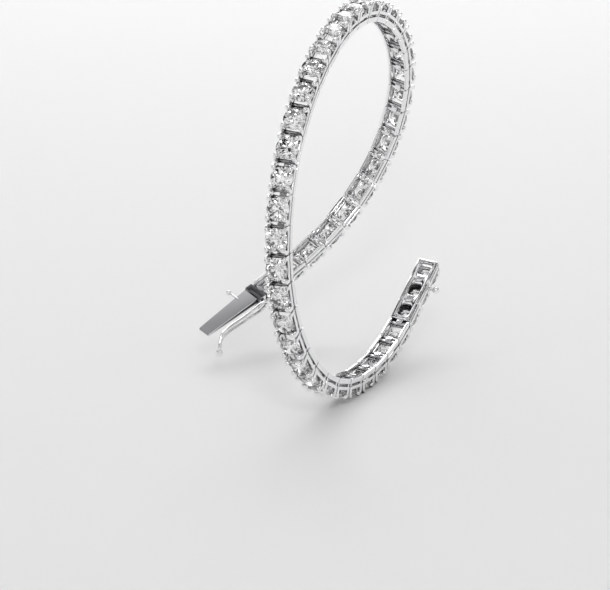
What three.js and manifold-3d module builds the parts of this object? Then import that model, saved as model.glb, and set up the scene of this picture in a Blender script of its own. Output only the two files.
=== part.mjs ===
// A tennis bracelet in white gold: forty-one hinged four-prong settings, each with one round
// brilliant, then a rigid box of three more settings at one end and a folded spring tongue at
// the other. It is open and stands as a loose upright spiral of a little more than one turn.
//
// Millimetres, +Z up. The origin is on the inner face of the topmost link. Each link has its
// own frame: x runs along the chain towards the box, y across it, z outwards from the wrist.
import * as THREE from "three";
import { mergeVertices } from "three/addons/utils/BufferGeometryUtils.js";
import Module from "manifold-3d";

const wasm = await Module();
wasm.setup();

// The chain
const pitch = 4; // hinge to hinge
const linkCount = 41; // single settings, without the three on the box
const topLink = 18; // the link at the top of the spiral, counted from the tongue
const topLean = 10.5; // degrees that the top link leans about its length
const topYaw = 1.5; // degrees that it is turned about the vertical

// How the chain curves, in degrees from one link to the next: bend curls it round the wrist,
// sway moves it sideways and twist turns it about its own length. Hinge 0 is at the tongue.
const route = [
  { hinge: 0, bend: 2.5, sway: 1, twist: 0.5 },
  { hinge: 5, bend: 8, sway: -2.5, twist: 1 },
  { hinge: 10, bend: 11.5, sway: -1.5, twist: 1 },
  { hinge: 15, bend: 8.5, sway: 1.5, twist: 0.5 },
  { hinge: 20, bend: 8.5, sway: 1, twist: 0 },
  { hinge: 25, bend: 8, sway: 1.5, twist: 1.5 },
  { hinge: 30, bend: 9, sway: 0.5, twist: 1.5 },
  { hinge: 35, bend: 11, sway: -0.5, twist: 1 },
  { hinge: 40, bend: 7, sway: -1, twist: 1 },
  { hinge: 45, bend: 3, sway: -3, twist: 1 },
];
const tongueTurn = { bend: 12.5, sway: 4, twist: 0 };

// One setting
const linkLength = { inner: 3.6, rail: 3.74, outer: 3.8 }; // it widens away from the wrist
const linkWidth = 3;
const innerFace = -1.5; // z of the side that lies on the wrist
const prongTop = 1.5; // z of the prong tips
const sideThickness = 0.4;
const rail = { height: 0.75, endBar: 0.5 };
const gallery = { bottom: -0.35, top: 0.25 };
const prong = { size: 0.6, tipX: 1.25, rootX: 1.1, bendZ: 0.8 }; // it is upright up to bendZ
const lug = { width: 0.9, height: 0.5, reach: 2.25 }; // reach is from the link's middle

// One stone
const stone = { diameter: 3.1, table: 1.76, girdleZ: 0.75, crown: 0.5, pavilion: 1.3 };
const stoneSides = 8;

// The box at the open end
const boxSettings = 3;
const boxStart = 0.2; // past the hinge line it hangs on
const boxEnd = 0.2; // short of the last hinge line
const boxSlot = 1.6; // width of the notch for the last link's lug
const tunnel = { width: 2.5, bottom: -1.15, top: -0.1, depth: 10.8 };
const peg = { x: 7.5, z: -0.45, shaft: 0.4, length: 1.1, ball: 0.9 };

// The spring tongue
const tongue = { tip: 11.6, freeEnd: 0.35, tipWidth: 1.85, rootWidth: 2.45, leaf: 0.28, rise: 0.65 };
const tongueBase = { start: 0.4, length: 1.3, width: 3, bottom: -1.5, top: 0.7 };
const tongueFloor = -0.6; // z of the under side of its lower leaf
const knob = { x: -4, shaft: 0.35, length: 1.4, ball: 0.8 };

// The safety catch, a wire loop on the side of the tongue's base
const catchWire = 0.42;
const catchPin = 0.32;
const catchLoop = { pinX: -1.1, length: 9, width: 1.5, z: -0.35, gap: 0.32 };
const catchTab = { length: 3.6, flare: 36, ball: 1 }; // flare is in degrees

const whiteGold = new THREE.MeshStandardMaterial({ color: 0xd9dadc, metalness: 1, roughness: 0.18 });
const satinGold = new THREE.MeshStandardMaterial({ color: 0xb9babc, metalness: 1, roughness: 0.42 });

const degrees = (angle) => (angle * Math.PI) / 180;

// A closed three.js geometry as a solid that can be joined and cut.
function solid(geometry) {
  const bare = new THREE.BufferGeometry().setAttribute("position", geometry.getAttribute("position"));
  if (geometry.index) bare.setIndex(geometry.index);
  const merged = mergeVertices(bare, 1e-4);
  return new wasm.Manifold(
    new wasm.Mesh({
      numProp: 3,
      vertProperties: new Float32Array(merged.attributes.position.array),
      triVerts: new Uint32Array(merged.index.array),
    }),
  );
}

function join(parts) {
  return parts.reduce((whole, part) => whole.add(part));
}

function geometryOf(body) {
  const mesh = body.getMesh();
  const positions = new Float32Array(mesh.numVert * 3);
  for (let i = 0; i < mesh.numVert; i++) {
    positions.set(mesh.vertProperties.subarray(i * mesh.numProp, i * mesh.numProp + 3), i * 3);
  }
  const geometry = new THREE.BufferGeometry();
  geometry.setAttribute("position", new THREE.BufferAttribute(positions, 3));
  geometry.setIndex(new THREE.BufferAttribute(mesh.triVerts, 1));
  geometry.computeVertexNormals();
  return geometry;
}

// A block between two opposite corners.
function block(low, high) {
  const size = high.map((value, axis) => value - low[axis]);
  const middle = high.map((value, axis) => (value + low[axis]) / 2);
  return solid(new THREE.BoxGeometry(...size).translate(...middle));
}

// An outline in x and z, with an optional hole, as a plate between two values of y.
function plateAcross(points, hole, low, high) {
  const outline = new THREE.Shape(points.map(([x, z]) => new THREE.Vector2(x, z)));
  if (hole) outline.holes.push(new THREE.Path(hole.map(([x, z]) => new THREE.Vector2(x, z))));
  const plate = new THREE.ExtrudeGeometry(outline, { depth: high - low, bevelEnabled: false });
  return solid(plate.rotateX(Math.PI / 2).translate(0, high, 0));
}

// A round brilliant as an eight-sided cone and crown with a flat table.
function brilliant(x) {
  const profile = [
    [0, stone.girdleZ - stone.pavilion],
    [stone.diameter / 2, stone.girdleZ],
    [stone.table / 2, stone.girdleZ + stone.crown],
    [0, stone.girdleZ + stone.crown],
  ].map(([r, z]) => new THREE.Vector2(r, z));
  const turned = new THREE.LatheGeometry(profile, stoneSides);
  return solid(turned.rotateX(Math.PI / 2).translate(x, 0, 0));
}

// The plate on each side of a setting: the base rail, the open slot over it, and the gallery
// bar whose two ends rise as prongs.
function sidePlates(x) {
  const railTop = innerFace + rail.height;
  const right = [
    [linkLength.inner / 2, innerFace],
    [linkLength.rail / 2, railTop + 0.05],
    [linkLength.outer / 2, prong.bendZ],
    [prong.tipX + prong.size / 2, prongTop],
    [prong.tipX - prong.size / 2, prongTop],
    [prong.rootX, gallery.top],
  ];
  const left = right.map(([dx, z]) => [-dx, z]).reverse();
  const slot = [
    [-prong.rootX, railTop],
    [prong.rootX, railTop],
    [prong.rootX, gallery.bottom],
    [-prong.rootX, gallery.bottom],
  ];
  const shift = (points) => points.map(([dx, z]) => [x + dx, z]);
  const outside = linkWidth / 2;
  return [
    plateAcross(shift([...right, ...left]), shift(slot), outside - sideThickness, outside),
    plateAcross(shift([...right, ...left]), shift(slot), -outside, sideThickness - outside),
  ];
}

// The cross bar at a link's front end with the hinge lug on it.
function barWithLug(front, reach) {
  const y = linkWidth / 2 - sideThickness / 2;
  const half = lug.width / 2;
  const back = front - rail.endBar;
  const outline = new THREE.Shape(
    [
      [back, -y],
      [front, -y],
      [front, -half],
      [reach, -half],
      [reach, half],
      [front, half],
      [front, y],
      [back, y],
    ].map(([x, across]) => new THREE.Vector2(x, across)),
  );
  const bar = new THREE.ExtrudeGeometry(outline, { depth: lug.height, bevelEnabled: false });
  return solid(bar.translate(0, 0, innerFace + 0.1));
}

// A single link: two side plates, the cross bar with the lug, and the stone in its prongs. The
// next link's lug goes between the plates at the back.
function linkBody() {
  return join([...sidePlates(0), barWithLug(linkLength.inner / 2 - 0.05, lug.reach), brilliant(0)]);
}

// The box: three settings on one hollow case, open at its end, with windows under the stones.
function boxBody() {
  const length = boxSettings * pitch - boxEnd;
  const y = linkWidth / 2;
  const parts = [block([boxStart, -y, innerFace], [length, y, gallery.top])];
  for (let i = 0; i < boxSettings; i++) {
    const x = (i + 0.5) * pitch;
    parts.push(...sidePlates(x), brilliant(x));
  }
  let body = join(parts);
  body = body.subtract(
    block(
      [length - tunnel.depth, -tunnel.width / 2, tunnel.bottom],
      [length + 1, tunnel.width / 2, tunnel.top],
    ),
  );
  for (let i = 0; i < boxSettings; i++) {
    const x = (i + 0.5) * pitch;
    body = body.subtract(block([x - 1.15, -0.85, innerFace - 1], [x + 1.15, 0.85, tunnel.bottom + 0.1]));
  }
  body = body.subtract(block([0, -boxSlot / 2, innerFace - 1], [boxStart + rail.endBar, boxSlot / 2, -0.6]));
  const shaft = new THREE.CylinderGeometry(peg.shaft / 2, peg.shaft / 2, peg.length + 0.3, 8);
  const ball = new THREE.SphereGeometry(peg.ball / 2, 8, 6);
  return join([
    body,
    solid(shaft.translate(peg.x, y + (peg.length - 0.3) / 2, peg.z)),
    solid(ball.translate(peg.x, y + peg.length, peg.z)),
  ]);
}

// A flat plate that narrows along -x, between two heights at each end.
function leafPlate(near, far) {
  const outline = new THREE.Shape();
  outline.moveTo(near.x, -near.width / 2);
  outline.lineTo(near.x, near.width / 2);
  outline.lineTo(far.x, far.width / 2);
  outline.lineTo(far.x, -far.width / 2);
  outline.closePath();
  const plate = new THREE.ExtrudeGeometry(outline, { depth: tongue.leaf, bevelEnabled: false });
  const place = plate.getAttribute("position");
  for (let i = 0; i < place.count; i++) {
    const share = (near.x - place.getX(i)) / (near.x - far.x);
    place.setZ(i, place.getZ(i) + near.z + share * (far.z - near.z));
  }
  return solid(plate);
}

// The tongue: a base block with a lug, a lower leaf soldered to it, a fold at the tip and the
// springy upper leaf that comes back on the inner side and ends free, with its release knob.
function tongueBody() {
  const start = -tongueBase.start;
  const y = tongueBase.width / 2;
  const middle = innerFace + rail.height / 2;
  const base = block([start - tongueBase.length, -y, tongueBase.bottom], [start, y, tongueBase.top]);
  const nose = block(
    [start - 0.3, -lug.width / 2, middle - lug.height / 2],
    [lug.reach - pitch / 2, lug.width / 2, middle + lug.height / 2],
  );
  const tip = { x: -tongue.tip, width: tongue.tipWidth };
  const root = tongue.rootWidth;
  const upperTip = tongueFloor - tongue.leaf;
  const lower = leafPlate(
    { x: start - tongueBase.length / 2, width: root, z: tongueFloor },
    { ...tip, z: tongueFloor },
  );
  const freeX = start - tongueBase.length - tongue.freeEnd;
  const upper = leafPlate(
    { x: freeX, width: root, z: upperTip - tongue.rise },
    { ...tip, z: upperTip + 0.02 },
  );
  const fold = new THREE.CylinderGeometry(tongue.leaf, tongue.leaf, tongue.tipWidth, 8);
  const share = (knob.x + tongue.tip) / (freeX + tongue.tip);
  const edge = -(tongue.tipWidth + share * (root - tongue.tipWidth)) / 2;
  const knobZ = upperTip - tongue.rise * share + tongue.leaf / 2;
  const shaft = new THREE.CylinderGeometry(knob.shaft / 2, knob.shaft / 2, knob.length + 0.4, 8);
  const ball = new THREE.SphereGeometry(knob.ball / 2, 8, 6);
  const pin = new THREE.CylinderGeometry(catchPin / 2, catchPin / 2, 1, 8);
  return join([
    base,
    nose,
    lower,
    upper,
    solid(fold.translate(-tongue.tip, 0, tongueFloor)),
    solid(shaft.translate(knob.x, edge - (knob.length - 0.4) / 2, knobZ)),
    solid(ball.translate(knob.x, edge - knob.length, knobZ)),
    solid(pin.translate(catchLoop.pinX, y + 0.2, catchLoop.z)),
  ]);
}

// The safety catch: a closed wire loop round the pin, straight along the tongue's side. Its far
// part flares outwards to a point with a small ball. Its frame's origin is on the pin.
function catchBody() {
  const half = catchLoop.width / 2 - catchWire / 2;
  const flare = degrees(catchTab.flare);
  const bendX = -catchLoop.length;
  const tabX = bendX - catchTab.length * Math.cos(flare);
  const tabY = catchTab.length * Math.sin(flare);
  const points = [
    [0.3, 0, half],
    [0.55, 0, 0],
    [0.3, 0, -half],
    [bendX, 0, -half],
    [tabX, tabY, 0],
    [bendX, 0, half],
  ].map((point) => new THREE.Vector3(...point));
  const path = new THREE.CurvePath();
  points.forEach((point, i) => path.add(new THREE.LineCurve3(point, points[(i + 1) % points.length])));
  const parts = points.map((point, i) => {
    const next = points[(i + 1) % points.length];
    const span = next.clone().sub(point);
    const wire = new THREE.CylinderGeometry(catchWire / 2, catchWire / 2, span.length() + 0.1, 6);
    const turn = new THREE.Quaternion().setFromUnitVectors(new THREE.Vector3(0, 1, 0), span.clone().normalize());
    const middle = point.clone().add(next).multiplyScalar(0.5);
    return solid(wire.applyQuaternion(turn).translate(...middle));
  });
  const ball = new THREE.SphereGeometry(catchTab.ball / 2, 8, 6);
  return join([...parts, solid(ball.translate(tabX, tabY, 0))]);
}

// The turn from one link's frame to the next one's.
function stepTurn({ bend, sway, twist }) {
  const axis = new THREE.Vector3(degrees(twist), degrees(bend), degrees(sway));
  const angle = axis.length();
  return new THREE.Quaternion().setFromAxisAngle(axis.normalize(), angle);
}

// The turn at a hinge, between the rows of the route.
function turnAt(hinge) {
  const next = route.findIndex((row) => row.hinge > hinge);
  const after = next < 0 ? route.at(-1) : route[next];
  const before = next < 0 ? route.at(-1) : route[next - 1];
  const share = next < 0 ? 0 : (hinge - before.hinge) / (after.hinge - before.hinge);
  const mix = (name) => before[name] + share * (after[name] - before[name]);
  return stepTurn({ bend: mix("bend"), sway: mix("sway"), twist: mix("twist") });
}

// Hinge positions and link turns along the whole chain, worked out from the top link.
function chainFrames() {
  const last = linkCount + boxSettings;
  const turns = [];
  const hinges = [];
  const facing = new THREE.Quaternion().setFromEuler(
    new THREE.Euler(degrees(topLean), 0, degrees(180 + topYaw), "XYZ"),
  );
  const along = (turn) => new THREE.Vector3(pitch, 0, 0).applyQuaternion(turn);
  const middle = new THREE.Vector3(0, 0, -innerFace).applyQuaternion(facing);
  turns[topLink] = facing;
  hinges[topLink - 1] = middle.clone().addScaledVector(along(facing), -0.5);
  hinges[topLink] = middle.clone().addScaledVector(along(facing), 0.5);
  for (let link = topLink + 1; link <= last; link++) {
    const turn = link > linkCount + 1 ? new THREE.Quaternion() : turnAt(link - 1);
    turns[link] = turns[link - 1].clone().multiply(turn);
    hinges[link] = hinges[link - 1].clone().add(along(turns[link]));
  }
  for (let link = topLink - 1; link >= 1; link--) {
    turns[link] = turns[link + 1].clone().multiply(turnAt(link).invert());
    hinges[link - 1] = hinges[link].clone().sub(along(turns[link]));
  }
  turns[0] = turns[1].clone().multiply(stepTurn(tongueTurn).invert());
  return { hinges, turns };
}

function place(name, geometry, material, position, turn) {
  const mesh = new THREE.Mesh(geometry, material);
  mesh.name = name;
  mesh.position.copy(position);
  mesh.quaternion.copy(turn);
  return mesh;
}

const bracelet = new THREE.Group();
const { hinges, turns } = chainFrames();

const linkGeometry = geometryOf(linkBody());
for (let link = 1; link <= linkCount; link++) {
  const middle = hinges[link - 1].clone().lerp(hinges[link], 0.5);
  bracelet.add(
    place("link_" + String(link).padStart(2, "0"), linkGeometry.clone(), whiteGold, middle, turns[link]),
  );
}
bracelet.add(
  place("clasp_box", geometryOf(boxBody()), whiteGold, hinges[linkCount], turns[linkCount + 1]),
);
bracelet.add(place("clasp_tongue", geometryOf(tongueBody()), satinGold, hinges[0], turns[0]));

const pinPlace = new THREE.Vector3(
  catchLoop.pinX,
  tongueBase.width / 2 + catchLoop.gap + catchWire / 2,
  catchLoop.z,
);
bracelet.add(
  place(
    "safety_catch",
    geometryOf(catchBody()),
    whiteGold,
    pinPlace.applyQuaternion(turns[0]).add(hinges[0]),
    turns[0],
  ),
);

export default bracelet;
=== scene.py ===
import math

import bpy
from mathutils import Matrix, Quaternion, Vector


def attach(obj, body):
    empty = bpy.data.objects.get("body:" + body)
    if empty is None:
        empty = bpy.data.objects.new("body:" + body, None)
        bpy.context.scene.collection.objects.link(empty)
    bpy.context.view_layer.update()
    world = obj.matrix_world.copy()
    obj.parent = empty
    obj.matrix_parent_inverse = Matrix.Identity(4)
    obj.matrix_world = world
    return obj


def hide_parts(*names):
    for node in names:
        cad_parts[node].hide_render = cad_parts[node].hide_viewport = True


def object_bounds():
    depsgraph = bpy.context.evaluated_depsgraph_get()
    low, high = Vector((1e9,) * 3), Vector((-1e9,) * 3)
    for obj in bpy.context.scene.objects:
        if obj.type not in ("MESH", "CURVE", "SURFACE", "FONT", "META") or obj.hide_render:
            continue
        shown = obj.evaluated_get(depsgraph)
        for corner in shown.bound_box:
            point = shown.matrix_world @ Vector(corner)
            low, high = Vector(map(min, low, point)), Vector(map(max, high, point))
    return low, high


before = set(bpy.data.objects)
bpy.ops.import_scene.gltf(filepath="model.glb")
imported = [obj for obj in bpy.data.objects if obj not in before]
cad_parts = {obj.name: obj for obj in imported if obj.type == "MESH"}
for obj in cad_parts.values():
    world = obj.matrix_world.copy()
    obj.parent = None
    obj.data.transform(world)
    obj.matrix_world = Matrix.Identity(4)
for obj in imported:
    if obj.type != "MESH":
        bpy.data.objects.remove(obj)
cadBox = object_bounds()

mm = 0.001  # pieces are shaped in millimetres and brought to metres when they are put in place

view = {
    "target": (-16.8, 0, -33.9),  # mm, the point that the camera looks at
    "distance": 430,
    "azimuth": 23.0,  # degrees from +X, turning towards +Y
    "elevation": 17.8,
    "lens": 188,
}

studio = {
    "floorSize": 3000,
    "floorColour": "#F4F4F4",
    "keyHeight": 111,  # mm over the floor
    "keyTowardsCamera": 119,  # mm from where the bracelet touches the floor
    "keySize": 24,
    "keyPower": 0.9,
    "backHeight": 420,  # the softbox behind the bracelet, from the same point
    "backBehind": 480,
    "backSize": 520,
    "backPower": 1.6,
    "worldBright": 0.95,
    "worldDark": 0.0,
    "worldDarkShare": 0.4,
    "worldBands": 11,
}

# The chain, as in the CAD: degrees of turn from one setting to the next.
chain = {
    "pitch": 4,
    "links": 41,
    "boxSettings": 3,
    "topLink": 18,
    "topLean": 10.5,
    "topYaw": 1.5,
    "innerFace": -1.5,
    "route": [  # hinge, bend, sway, twist
        (0, 2.5, 1, 0.5),
        (5, 8, -2.5, 1),
        (10, 11.5, -1.5, 1),
        (15, 8.5, 1.5, 0.5),
        (20, 8.5, 1, 0),
        (25, 8, 1.5, 1.5),
        (30, 9, 0.5, 1.5),
        (35, 11, -0.5, 1),
        (40, 7, -1, 1),
        (45, 3, -3, 1),
    ],
    "tongueTurn": (12.5, 4, 0),
}

setting = {
    "length": 3.6,
    "flare": 0.1,  # how much further out the ends are above the base rail
    "width": 3.0,
    "wall": 0.38,
    "railTop": -0.75,
    "galleryBottom": -0.36,
    "galleryTop": 0.12,
    "armRoot": 1.3,  # half the clear width between the arms
    "armTips": (0.98, 1.55),  # from the middle to the inner and outer side of an arm at its top
    "shoulder": 0.3,  # rounding of the outer corner where an arm starts to lean
    "bendZ": 0.8,  # the arms lean in over the stone above this
    "armTop": 1.2,
    "tipCentre": (1.27, 1.17, 1.14),
    "tipRadius": 0.37,
    "edge": 0.07,
    "postSet": 0.14,  # how far the posts in the slot stand back from the wall's face
    "postSize": (0.4, 0.2),  # along and across the chain
    "postIn": 0.22,  # from the link's end to the middle of a post
    "windowCorner": 0.3,
    "crossBars": [  # end of the link, start and stop inward from it, underside, top
        (1, 0.05, 0.45, -1.1, -0.75),
        (-1, 0.05, 0.35, -1.0, -0.7),
        (1, 0.15, 0.5, -0.65, -0.3),
        (-1, 0.15, 0.5, -0.65, -0.3),
    ],
    "barInset": 0.3,  # how far the cross bars' ends stay inside the walls' faces
    "lugLow": (1.4, -0.45, -1.38),
    "lugHigh": (2.25, 0.45, -0.92),
    "lugEdge": 0.12,
}

stone = {
    "diameter": 3.1,
    "girdleZ": 0.66,
    "girdle": 0.07,
    "table": 0.57,
    "crownAngle": 34.5,
    "starAngle": 21.3,
    "upperAngle": 38.8,
    "pavilionAngle": 40.8,
    "lowerAngle": 41.2,
}

claspBox = {
    "start": 0.2,
    "end": 11.8,
    "top": 0.15,
    "tunnelWidth": 2.5,
    "tunnelBottom": -1.15,
    "tunnelTop": -0.1,
    "tunnelDepth": 10.8,
    "window": (2.3, 1.7),
    "windowRound": 0.5,
    "edge": 0.06,
    "pegX": 7.5,
    "pegZ": -0.45,
    "pegLength": 1.1,
    "pegSunk": 0.65,  # how deep below its ball the stalk's middle is
    "pegRadius": 0.24,
    "ballRadius": 0.5,
}

tongue = {
    "tip": -11.6,
    "free": -2.05,
    "tipWidth": 1.85,
    "rootWidth": 2.45,
    "leaf": 0.28,
    "leafEdge": 0.08,
    "floor": -0.6,  # underside of the lower leaf
    "rise": 0.65,
    "baseLow": (-1.7, -1.5, -1.5),
    "baseHigh": (-0.4, 1.5, 0.7),
    "baseRim": 0.22,
    "baseRecess": 0.9,
    "baseEdge": 0.1,
    "noseLow": (-0.5, -0.45, -1.4),
    "noseHigh": (0.25, 0.45, -0.9),
    "knobX": -4,
    "knobLength": 1.4,
    "knobRadius": 0.4,
    "stalkRadius": 0.175,
    "stalkSunk": 0.4,  # how far the knob's stalk runs into the leaf
}

catch = {
    "pinX": -1.1,
    "pinZ": -0.35,
    "side": 2.03,  # across the chain, to the middle of the wire
    "wire": 0.24,  # radius
    "pin": (0.16, 1.0),  # radius and length
    "pinHead": 0.22,
    "halfWidth": 0.54,
    "length": 9,
    "tab": 3.6,
    "flare": 36,
    "ball": 0.55,
}


def select(piece):
    if bpy.context.mode != "OBJECT":
        bpy.ops.object.mode_set(mode="OBJECT")
    bpy.ops.object.select_all(action="DESELECT")
    piece.select_set(True)
    bpy.context.view_layer.objects.active = piece


# Leaves the piece in edit mode with only what passes the test selected.
def pick(piece, kind, test):
    select(piece)
    bpy.ops.object.mode_set(mode="EDIT")
    bpy.ops.mesh.select_mode(type=kind)
    bpy.ops.mesh.select_all(action="DESELECT")
    bpy.ops.object.mode_set(mode="OBJECT")
    mesh = piece.data
    parts = {"VERT": mesh.vertices, "EDGE": mesh.edges, "FACE": mesh.polygons}[kind]
    for part in parts:
        part.select = test(part)
    bpy.ops.object.mode_set(mode="EDIT")


def finishEdit():
    bpy.ops.object.mode_set(mode="OBJECT")


def edgeMiddle(piece, edge):
    ends = [piece.data.vertices[i].co for i in edge.vertices]
    return (ends[0] + ends[1]) / 2


def edgeRun(piece, edge):
    ends = [piece.data.vertices[i].co for i in edge.vertices]
    return ends[1] - ends[0]


def modify(piece, kind, settings):
    select(piece)
    modifier = piece.modifiers.new(kind.lower(), kind)
    for name, value in settings.items():
        setattr(modifier, name, value)
    bpy.ops.object.modifier_apply(modifier=modifier.name)


def applyPlace(piece):
    select(piece)
    bpy.ops.object.transform_apply(location=True, rotation=True, scale=True)


def roundEdges(piece, width, segments=2):
    sharp = math.radians(35)
    shape = {"width": width, "segments": segments, "limit_method": "ANGLE", "angle_limit": sharp}
    modify(piece, "BEVEL", shape)


def block(low, high, edge=0):
    size = [b - a for a, b in zip(low, high)]
    middle = [(b + a) / 2 for a, b in zip(low, high)]
    bpy.ops.object.select_all(action="DESELECT")
    bpy.ops.mesh.primitive_cube_add(size=1, location=middle, scale=size)
    piece = bpy.context.object
    applyPlace(piece)
    if edge:
        roundEdges(piece, edge)
    return piece


def ball(middle, radius, segments=16, rings=10, scale=(1, 1, 1)):
    bpy.ops.object.select_all(action="DESELECT")
    bpy.ops.mesh.primitive_uv_sphere_add(
        segments=segments, ring_count=rings, radius=radius, location=middle, scale=scale
    )
    piece = bpy.context.object
    applyPlace(piece)
    return piece


def rod(middle, radius, length, turn=(math.pi / 2, 0, 0), vertices=16):
    bpy.ops.object.select_all(action="DESELECT")
    bpy.ops.mesh.primitive_cylinder_add(
        vertices=vertices, radius=radius, depth=length, location=middle, rotation=turn
    )
    piece = bpy.context.object
    applyPlace(piece)
    return piece


def join(pieces, name):
    select(pieces[0])
    for piece in pieces:
        piece.select_set(True)
    bpy.ops.object.join()
    whole = bpy.context.object
    whole.name = name
    whole.data.name = name
    return whole


def smooth(piece, angle=40):
    select(piece)
    bpy.ops.object.shade_smooth_by_angle(angle=math.radians(angle))


# One wall of a setting: base rail, open slot, and a gallery bar whose ends rise as prong arms.
def sideWall():
    half = setting["length"] / 2
    root = setting["armRoot"]
    columns = [-half, -root, root, half]
    rows = [
        chain["innerFace"],
        setting["railTop"],
        setting["galleryBottom"],
        setting["galleryTop"],
        setting["bendZ"],
        setting["armTop"],
    ]
    bpy.ops.object.select_all(action="DESELECT")
    bpy.ops.mesh.primitive_grid_add(x_subdivisions=3, y_subdivisions=5, size=2, rotation=(math.pi / 2, 0, 0))
    wall = bpy.context.object
    applyPlace(wall)
    for vertex in wall.data.vertices:
        column = round((vertex.co.x + 1) / 2 * 3)
        row = round((vertex.co.z + 1) / 2 * 5)
        x = columns[column]
        if column in (0, 3) and row:
            x += math.copysign(setting["flare"], x)
        if row == 5:
            inward, outward = setting["armTips"]
            x = math.copysign(outward if column in (0, 3) else inward, x)
        vertex.co = (x, setting["width"] / 2, rows[row])
    slotMiddle = (setting["railTop"] + setting["galleryBottom"]) / 2
    isSlot = lambda face: abs(face.center.z - slotMiddle) < 0.1
    isWindow = lambda face: abs(face.center.x) < 0.1 and face.center.z > setting["galleryTop"]
    pick(wall, "FACE", lambda face: isSlot(face) or isWindow(face))
    bpy.ops.mesh.delete(type="FACE")
    bpy.ops.mesh.select_all(action="SELECT")
    bpy.ops.mesh.extrude_region_move(TRANSFORM_OT_translate={"value": (0, -setting["wall"], 0)})
    bpy.ops.mesh.select_all(action="SELECT")
    bpy.ops.mesh.normals_make_consistent(inside=False)
    isCorner = lambda edge: (
        abs(edgeRun(wall, edge).y) > 0.4
        and abs(edgeMiddle(wall, edge).z - setting["galleryTop"]) < 0.01
        and abs(abs(edgeMiddle(wall, edge).x) - root) < 0.01
    )
    pick(wall, "EDGE", isCorner)
    bpy.ops.mesh.bevel(offset=setting["windowCorner"], segments=4, affect="EDGES")
    isShoulder = lambda edge: (
        abs(edgeRun(wall, edge).y) > 0.4
        and abs(edgeMiddle(wall, edge).z - setting["bendZ"]) < 0.01
        and abs(edgeMiddle(wall, edge).x) > half
    )
    pick(wall, "EDGE", isShoulder)
    bpy.ops.mesh.bevel(offset=setting["shoulder"], segments=3, affect="EDGES")
    finishEdit()
    roundEdges(wall, setting["edge"])
    posts = []
    length, depth = setting["postSize"]
    outside = setting["width"] / 2 - setting["postSet"]
    low = setting["railTop"] - 0.1  # the posts run a little into the rail and the gallery bar
    high = setting["galleryBottom"] + 0.1
    for end in (-1, 1):
        x = end * (half - setting["postIn"])
        posts.append(block((x - length / 2, outside - depth, low), (x + length / 2, outside, high)))
    wall = join([wall, *posts], "wall")
    modify(wall, "MIRROR", {"use_axis": (False, True, False)})
    return wall


def prongTips():
    x, y, z = setting["tipCentre"]
    return [ball((x * i, y * j, z), setting["tipRadius"], 12, 8) for i in (-1, 1) for j in (-1, 1)]


# The metal of one link: two walls, four prong tips, the cross bars and the hinge lug.
def settingMetal():
    half = setting["length"] / 2
    across = setting["width"] / 2 - setting["barInset"]
    pieces = [sideWall(), *prongTips()]
    for end, start, stop, bottom, top in setting["crossBars"]:
        low, high = sorted((end * (half - start), end * (half - stop)))
        pieces.append(block((low, -across, bottom), (high, across, top), setting["edge"]))
    pieces.append(block(setting["lugLow"], setting["lugHigh"], setting["lugEdge"]))
    return pieces


# A round brilliant cut from a cylinder, one flat facet at a time, as on a lapidary's wheel.
def brilliantCut():
    radius = stone["diameter"] / 2
    crownFoot = stone["girdleZ"] + stone["girdle"] / 2
    pavilionFoot = stone["girdleZ"] - stone["girdle"] / 2
    tableZ = crownFoot + radius * (1 - stone["table"]) * math.tan(math.radians(stone["crownAngle"]))
    bpy.ops.object.select_all(action="DESELECT")
    middle = (0, 0, stone["girdleZ"])
    bpy.ops.mesh.primitive_cylinder_add(vertices=32, radius=radius, depth=4, location=middle)
    gem = bpy.context.object
    applyPlace(gem)
    bpy.ops.object.mode_set(mode="EDIT")
    starReach = radius * stone["table"] * math.cos(math.pi / 8)
    facets = [(0, 0, 0, tableZ)]  # azimuth, angle from flat, and the radius and height of a point on it
    for i in range(8):
        main = 45 * i
        facets.append((main, stone["crownAngle"], radius, crownFoot))
        facets.append((main + 22.5, stone["starAngle"], starReach, tableZ))
        facets.append((main, 180 - stone["pavilionAngle"], radius, pavilionFoot))
        for side in (-11.25, 11.25):
            facets.append((main + side, stone["upperAngle"], radius, crownFoot))
            facets.append((main + side, 180 - stone["lowerAngle"], radius, pavilionFoot))
    for azimuth, angle, reach, height in facets:
        turn = math.radians(azimuth)
        tilt = math.radians(angle)
        point = (reach * math.cos(turn), reach * math.sin(turn), height)
        normal = (math.sin(tilt) * math.cos(turn), math.sin(tilt) * math.sin(turn), math.cos(tilt))
        bpy.ops.mesh.select_all(action="SELECT")
        bpy.ops.mesh.bisect(plane_co=point, plane_no=normal, use_fill=True, clear_outer=True, threshold=1e-5)
    bpy.ops.mesh.select_all(action="SELECT")
    bpy.ops.mesh.remove_doubles(threshold=1e-4)
    bpy.ops.mesh.normals_make_consistent(inside=False)
    finishEdit()
    return gem


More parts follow.
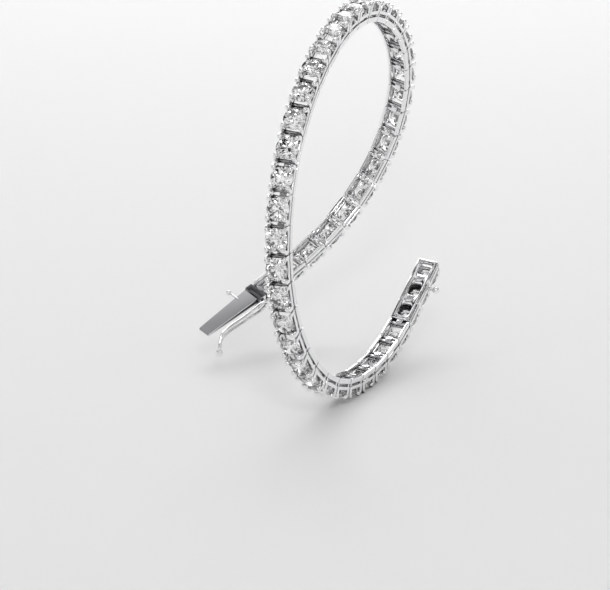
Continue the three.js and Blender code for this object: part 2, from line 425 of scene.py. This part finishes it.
# The case under the last three stones, with the tunnel for the tongue and a window below each.
def boxCase():
    y = setting["width"] / 2
    start = claspBox["start"]
    end = claspBox["end"]
    case = block((start, -y, chain["innerFace"]), (end, y, claspBox["top"]))
    side = claspBox["tunnelWidth"] / 2
    tunnelStart = end - claspBox["tunnelDepth"]
    tunnel = block((tunnelStart, -side, claspBox["tunnelBottom"]), (end + 1, side, claspBox["tunnelTop"]))
    cutters = [tunnel]
    length, width = claspBox["window"]
    above = claspBox["top"] + 0.1
    for i in range(chain["boxSettings"]):
        x = (i + 0.5) * chain["pitch"]
        window = block((x - length / 2, -width / 2, -3), (x + length / 2, width / 2, above))
        pick(window, "EDGE", lambda edge: abs(edgeRun(window, edge).z) > 1)
        bpy.ops.mesh.bevel(offset=claspBox["windowRound"], segments=4, affect="EDGES")
        finishEdit()
        cutters.append(window)
    for cutter in cutters:
        modify(case, "BOOLEAN", {"operation": "DIFFERENCE", "object": cutter, "solver": "EXACT"})
        bpy.data.objects.remove(cutter)
    roundEdges(case, claspBox["edge"])
    return case


# The case with its three settings, and the peg that the safety catch goes over.
def boxMetal():
    pieces = [boxCase()]
    for i in range(chain["boxSettings"]):
        for part in [sideWall(), *prongTips()]:
            part.data.transform(Matrix.Translation(((i + 0.5) * chain["pitch"], 0, 0)))
            pieces.append(part)
    x = claspBox["pegX"]
    z = claspBox["pegZ"]
    tipY = setting["width"] / 2 + claspBox["pegLength"]
    stalk = (x, tipY - claspBox["pegSunk"], z)
    pieces.append(rod(stalk, claspBox["pegRadius"], claspBox["pegLength"]))
    pieces.append(ball((x, tipY, z), claspBox["ballRadius"], 24, 16))
    return pieces


# A flat spring leaf that narrows and drops towards the tip.
def leaf(nearX, nearZ, farX, farZ):
    half = tongue["rootWidth"] / 2
    piece = block((farX, -half, nearZ), (nearX, half, nearZ + tongue["leaf"]))
    pick(piece, "VERT", lambda vertex: vertex.co.x < (nearX + farX) / 2)
    ratio = tongue["tipWidth"] / tongue["rootWidth"]
    bpy.ops.transform.resize(value=(1, ratio, 1), center_override=(farX, 0, nearZ))
    bpy.ops.transform.translate(value=(0, 0, farZ - nearZ))
    finishEdit()
    roundEdges(piece, tongue["leafEdge"])
    return piece


# The block at the tongue's root, hollowed from the side that lies on the wrist.
def tongueBase():
    base = block(tongue["baseLow"], tongue["baseHigh"])
    pick(base, "FACE", lambda face: face.normal.z < -0.9)
    bpy.ops.mesh.inset(thickness=tongue["baseRim"])
    bpy.ops.transform.translate(value=(0, 0, tongue["baseRecess"]))
    finishEdit()
    roundEdges(base, tongue["baseEdge"])
    return base


# The whole tongue: two leaves with the fold between them, the base, the nose that goes into
# the first link, the release knob on its stalk, and the catch's pin.
def tongueMetal():
    tip = tongue["tip"]
    upperTip = tongue["floor"] - tongue["leaf"]
    upperFree = upperTip - tongue["rise"]
    lowerRoot = tongue["baseLow"][0] + 0.4
    knobX = tongue["knobX"]
    share = (knobX - tip) / (tongue["free"] - tip)
    edge = -(tongue["tipWidth"] + share * (tongue["rootWidth"] - tongue["tipWidth"])) / 2
    knobZ = upperTip - tongue["rise"] * share + tongue["leaf"] / 2
    reach = tongue["knobLength"]
    sunk = tongue["stalkSunk"]
    pinRadius, pinLength = catch["pin"]
    return [
        leaf(tongue["free"], upperFree, tip, upperTip),
        leaf(lowerRoot, tongue["floor"], tip, tongue["floor"]),
        rod((tip, 0, tongue["floor"]), tongue["leaf"], tongue["tipWidth"] - 0.08, vertices=24),
        tongueBase(),
        block(tongue["noseLow"], tongue["noseHigh"], 0.1),
        rod((knobX, edge - (reach - sunk) / 2, knobZ), tongue["stalkRadius"], reach + sunk),
        ball((knobX, edge - reach, knobZ), tongue["knobRadius"], 24, 16),
        rod((catch["pinX"], 1.7, catch["pinZ"]), pinRadius, pinLength),
        ball((catch["pinX"], 2.2, catch["pinZ"]), catch["pinHead"], 16, 10, (1, 0.5, 1)),
    ]


# The catch: one loop of wire round its pin, straight along the tongue, then flared as a tab.
def catchWire():
    half = catch["halfWidth"]
    flare = math.radians(catch["flare"])
    bend = -catch["length"]
    tabX = bend - catch["tab"] * math.cos(flare)
    tabY = catch["tab"] * math.sin(flare)
    side = [
        (0.0, 0, -half),
        (bend * 0.5, 0, -half),
        (bend + 0.4, 0.02, -half),
        (bend - 0.5, 0.3, -half),
    ]
    points = [(0.5, 0, 0), *side, (tabX, tabY, 0), *[(x, y, -z) for x, y, z in reversed(side)]]
    curve = bpy.data.curves.new("safetyCatch", "CURVE")
    curve.dimensions = "3D"
    curve.bevel_depth = catch["wire"]
    curve.bevel_resolution = 3
    curve.resolution_u = 8
    spline = curve.splines.new("BEZIER")
    spline.bezier_points.add(len(points) - 1)
    spline.use_cyclic_u = True
    for knot, point in zip(spline.bezier_points, points):
        knot.co = point
        knot.handle_left_type = "AUTO"
        knot.handle_right_type = "AUTO"
    piece = bpy.data.objects.new("safetyCatch", curve)
    bpy.context.scene.collection.objects.link(piece)
    select(piece)
    bpy.ops.object.convert(target="MESH")
    end = ball((tabX, tabY, 0), catch["ball"], 24, 16)
    return join([bpy.context.view_layer.objects["safetyCatch"], end], "safetyCatch")


# The turn from one link's frame to the next: x along the chain, y across, z outwards.
def stepTurn(bend, sway, twist):
    axis = Vector((math.radians(twist), math.radians(bend), math.radians(sway)))
    return Quaternion(axis.normalized(), axis.length)


def turnAt(hinge):
    route = chain["route"]
    for before, after in zip(route, route[1:]):
        if hinge < after[0]:
            share = (hinge - before[0]) / (after[0] - before[0])
            return stepTurn(*[a + share * (b - a) for a, b in zip(before[1:], after[1:])])
    return stepTurn(*route[-1][1:])


# Where each link's frame is, worked out both ways from the top link.
def chainFrames():
    top = chain["topLink"]
    last = chain["links"] + chain["boxSettings"]
    lean = Quaternion((1, 0, 0), math.radians(chain["topLean"]))
    turns = {top: lean @ Quaternion((0, 0, 1), math.radians(180 + chain["topYaw"]))}
    step = Vector((chain["pitch"], 0, 0))
    middle = turns[top] @ Vector((0, 0, -chain["innerFace"]))
    hinges = {top - 1: middle - turns[top] @ step / 2, top: middle + turns[top] @ step / 2}
    for link in range(top + 1, last + 1):
        turn = Quaternion() if link > chain["links"] + 1 else turnAt(link - 1)
        turns[link] = turns[link - 1] @ turn
        hinges[link] = hinges[link - 1] + turns[link] @ step
    for link in range(top - 1, 0, -1):
        turns[link] = turns[link + 1] @ turnAt(link).inverted()
        hinges[link - 1] = hinges[link] - turns[link] @ step
    turns[0] = turns[1] @ stepTurn(*chain["tongueTurn"]).inverted()
    return hinges, turns


def placeAt(point, turn):
    return Matrix.Translation(point * mm) @ turn.to_matrix().to_4x4() @ Matrix.Scale(mm, 4)


def copyTo(piece, name, matrix):
    twin = piece.copy()
    twin.data = piece.data.copy()
    twin.name = name
    twin.data.name = name
    twin.data.transform(matrix)
    bpy.context.scene.collection.objects.link(twin)
    return twin


def linearColour(code):
    parts = [int(code[i : i + 2], 16) / 255 for i in (1, 3, 5)]
    return [p / 12.92 if p <= 0.04045 else ((p + 0.055) / 1.055) ** 2.4 for p in parts] + [1]


def addNode(tree, kind, settings, links):
    node = tree.nodes.new(kind)
    for name, value in settings.items():
        if name in node.inputs:
            node.inputs[name].default_value = value
        else:
            setattr(node, name, value)
    for name, source in links.items():
        tree.links.new(source, node.inputs[name])
    return node


def newMaterial(name, settings):
    material = bpy.data.materials.new(name)
    material.use_nodes = True
    shader = material.node_tree.nodes["Principled BSDF"]
    for socket, value in settings.items():
        shader.inputs[socket].default_value = value
    return material, material.node_tree, shader


# Painted shade: an ambient occlusion mask darkens the base colour to near black in corners, gaps and
# recesses, where shade falls.
def paintedShadeInCorners(tree, shader, code):
    corners = addNode(tree, "ShaderNodeAmbientOcclusion", {"samples": 8, "Distance": 1.5 * mm}, {})
    ramp = addNode(tree, "ShaderNodeValToRGB", {}, {"Fac": corners.outputs["AO"]})
    ramp.color_ramp.elements[0].position = 0.25
    # near black: the colour of the painted shade in the deepest corners
    ramp.color_ramp.elements[0].color = linearColour("#0E0E10")
    ramp.color_ramp.elements[1].position = 0.62
    ramp.color_ramp.elements[1].color = linearColour(code)
    tree.links.new(ramp.outputs["Color"], shader.inputs["Base Color"])


# Rhodium-plated 18 k white gold, buffed on a felt wheel: a near mirror with a faint waviness
# left by the buffing, a slightly uneven gloss, and painted shade in its corners.
def polishedWhiteGold():
    material, tree, shader = newMaterial("polished rhodium-plated white gold", {"Metallic": 1})
    paintedShadeInCorners(tree, shader, "#F4F4F5")
    place = addNode(tree, "ShaderNodeTexCoord", {}, {})
    # buffing waves about 0.8 mm across
    grain = {"Scale": 1 / (0.8 * mm), "Detail": 2}
    waves = addNode(tree, "ShaderNodeTexNoise", grain, {"Vector": place.outputs["Object"]})
    spread = {"To Min": 0.06, "To Max": 0.16}
    gloss = addNode(tree, "ShaderNodeMapRange", spread, {"Value": waves.outputs["Fac"]})
    bump = addNode(
        tree, "ShaderNodeBump", {"Strength": 0.25, "Distance": 0.02 * mm}, {"Height": waves.outputs["Fac"]}
    )
    tree.links.new(gloss.outputs["Result"], shader.inputs["Roughness"])
    tree.links.new(bump.outputs["Normal"], shader.inputs["Normal"])
    return material


# White gold left with a fine satin: emery lines along the leaf that spread its highlight.
def satinWhiteGold():
    material, tree, shader = newMaterial("satin white gold", {"Metallic": 1})
    # painted shade: the leaf's corners and gaps are darkened to near black
    paintedShadeInCorners(tree, shader, "#A8A8AA")
    place = addNode(tree, "ShaderNodeTexCoord", {}, {})
    # lines 0.06 mm apart and some 2 mm long, drawn about three times as coarse as real ones
    stretch = addNode(
        tree,
        "ShaderNodeMapping",
        {"Scale": (1 / (2 * mm), 1 / (0.06 * mm), 1 / (0.06 * mm))},
        {"Vector": place.outputs["Object"]},
    )
    grain = {"Scale": 1, "Detail": 3}
    lines = addNode(tree, "ShaderNodeTexNoise", grain, {"Vector": stretch.outputs["Vector"]})
    spread = {"To Min": 0.55, "To Max": 0.65}
    gloss = addNode(tree, "ShaderNodeMapRange", spread, {"Value": lines.outputs["Fac"]})
    bump = addNode(
        tree, "ShaderNodeBump", {"Strength": 0.2, "Distance": 0.01 * mm}, {"Height": lines.outputs["Fac"]}
    )
    tree.links.new(gloss.outputs["Result"], shader.inputs["Roughness"])
    tree.links.new(bump.outputs["Normal"], shader.inputs["Normal"])
    return material


# Colourless brilliant-cut diamond, polished on a scaife: clear, with hard bright and dark facets.
def brilliantDiamond():
    clear = {
        "Base Color": linearColour("#FFFFFF"),
        "Roughness": 0.0,
        "IOR": 2.42,
        "Transmission Weight": 1,
    }
    return newMaterial("brilliant-cut diamond", clear)[0]


def paperFloor():
    paper = {
        "Base Color": linearColour(studio["floorColour"]),
        "Roughness": 0.9,
        "Specular IOR Level": 0.1,
    }
    return newMaterial("matte white paper", paper)[0]


def addCamera():
    turn = math.radians(view["azimuth"])
    rise = math.radians(view["elevation"])
    ahead = Vector((math.cos(rise) * math.cos(turn), math.cos(rise) * math.sin(turn), -math.sin(rise)))
    camera = bpy.data.cameras.new("camera")
    camera.lens = view["lens"]
    camera.clip_start = 0.01
    holder = bpy.data.objects.new("camera", camera)
    holder.location = (Vector(view["target"]) - ahead * view["distance"]) * mm
    holder.rotation_euler = ahead.to_track_quat("-Z", "Y").to_euler()
    bpy.context.scene.collection.objects.link(holder)
    bpy.context.scene.camera = holder
    return Vector((ahead.x, ahead.y, 0)).normalized()


def addFloor(height):
    bpy.ops.object.select_all(action="DESELECT")
    bpy.ops.mesh.primitive_plane_add(size=studio["floorSize"] * mm, location=(0, 0, height))
    floor = bpy.context.object
    floor.name = "floor"
    floor.data.materials.append(paperFloor())


def addLight(name, shape, size, power, place, aim):
    light = bpy.data.lights.new(name, "AREA")
    light.shape = shape
    light.size = size * mm
    light.energy = power
    holder = bpy.data.objects.new(name, light)
    holder.location = place
    holder.rotation_euler = (aim - place).to_track_quat("-Z", "Y").to_euler()
    bpy.context.scene.collection.objects.link(holder)
    return light


# The key is a small softbox over the camera's side, close enough for the shadow to spread. Its
# light doesn't weaken with distance, so that the floor stays even.
def addLights(contact, ahead):
    up = Vector((0, 0, 1))
    place = contact + (up * studio["keyHeight"] - ahead * studio["keyTowardsCamera"]) * mm
    key = addLight("key", "DISK", studio["keySize"], studio["keyPower"], place, contact)
    key.use_nodes = True
    tree = key.node_tree
    even = addNode(tree, "ShaderNodeLightFalloff", {"Strength": 1}, {})
    tree.links.new(even.outputs["Constant"], tree.nodes["Emission"].inputs["Strength"])
    place = contact + (up * studio["backHeight"] + ahead * studio["backBehind"]) * mm
    addLight("back", "SQUARE", studio["backSize"], studio["backPower"], place, contact + ahead * 200 * mm)


# A tent of bright panels with dark gaps between them, which give stones and metal their contrast.
def addWorld():
    world = bpy.data.worlds.new("light tent")
    bpy.context.scene.world = world
    world.use_nodes = True
    tree = world.node_tree
    place = addNode(tree, "ShaderNodeTexCoord", {}, {})
    pattern = {"Scale": studio["worldBands"], "Randomness": 0.8}
    panels = addNode(tree, "ShaderNodeTexVoronoi", pattern, {"Vector": place.outputs["Generated"]})
    split = addNode(tree, "ShaderNodeSeparateColor", {}, {"Color": panels.outputs["Color"]})
    ramp = addNode(tree, "ShaderNodeValToRGB", {}, {"Fac": split.outputs["Red"]})
    dark = studio["worldDark"]
    bright = studio["worldBright"]
    ramp.color_ramp.interpolation = "CONSTANT"
    ramp.color_ramp.elements[0].position = 0
    ramp.color_ramp.elements[0].color = (dark, dark, dark, 1)
    ramp.color_ramp.elements[1].position = studio["worldDarkShare"]
    ramp.color_ramp.elements[1].color = (bright, bright, bright, 1)
    tree.links.new(ramp.outputs["Color"], tree.nodes["Background"].inputs["Color"])


ahead = addCamera()
floorZ = cadBox[0][2]
addFloor(floorZ)
addWorld()
bpy.context.scene.view_settings.view_transform = "Standard"
print("camera, floor and world are in")

gold = polishedWhiteGold()
satin = satinWhiteGold()
diamond = brilliantDiamond()

hinges, turns = chainFrames()

masterSetting = join(settingMetal(), "masterSetting")
smooth(masterSetting)
masterSetting.data.materials.append(gold)
masterStone = brilliantCut()
masterStone.data.materials.append(diamond)
print("one setting and one stone are made:", len(masterSetting.data.polygons), len(masterStone.data.polygons))

for link in range(1, chain["links"] + 1):
    matrix = placeAt((hinges[link - 1] + hinges[link]) / 2, turns[link])
    metal = copyTo(masterSetting, f"setting_{link:02d}", matrix)
    gem = copyTo(masterStone, f"brilliant_{link:02d}", matrix)
    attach(metal, "bracelet")
    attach(gem, "bracelet")
    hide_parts(f"link_{link:02d}")
print("the chain is placed")

boxLink = chain["links"] + 1
boxPlace = placeAt(hinges[chain["links"]], turns[boxLink])
box = join(boxMetal(), "claspBoxMetal")
smooth(box)
box.data.materials.append(gold)
box.data.transform(boxPlace)
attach(box, "bracelet")
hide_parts("clasp_box")
for i in range(chain["boxSettings"]):
    place = boxPlace @ Matrix.Translation(((i + 0.5) * chain["pitch"], 0, 0))
    gem = copyTo(masterStone, f"brilliant_{boxLink + i:02d}", place)
    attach(gem, "bracelet")

tonguePlace = placeAt(hinges[0], turns[0])
tongueSpring = join(tongueMetal(), "tongueSpring")
smooth(tongueSpring)
tongueSpring.data.materials.append(satin)
tongueSpring.data.materials.append(gold)
for face in tongueSpring.data.polygons:  # the leaves' edges, the knob and the pin are polished
    isPolished = abs(face.normal.y) > 0.6 or abs(face.center.y) > 1.55
    face.material_index = 1 if isPolished else 0
tongueSpring.data.transform(tonguePlace)
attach(tongueSpring, "bracelet")
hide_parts("clasp_tongue")

catchLoop = catchWire()
smooth(catchLoop)
catchLoop.data.materials.append(gold)
catchLoop.data.transform(tonguePlace @ Matrix.Translation((catch["pinX"], catch["side"], catch["pinZ"])))
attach(catchLoop, "catch")
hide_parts("safety_catch")
print("the clasp is in")

for master in (masterSetting, masterStone):
    bpy.data.objects.remove(master)

contact = hinges[37] * mm  # the lowest hinge, over where the bracelet touches the floor
contact.z = floorZ
addLights(contact, ahead)
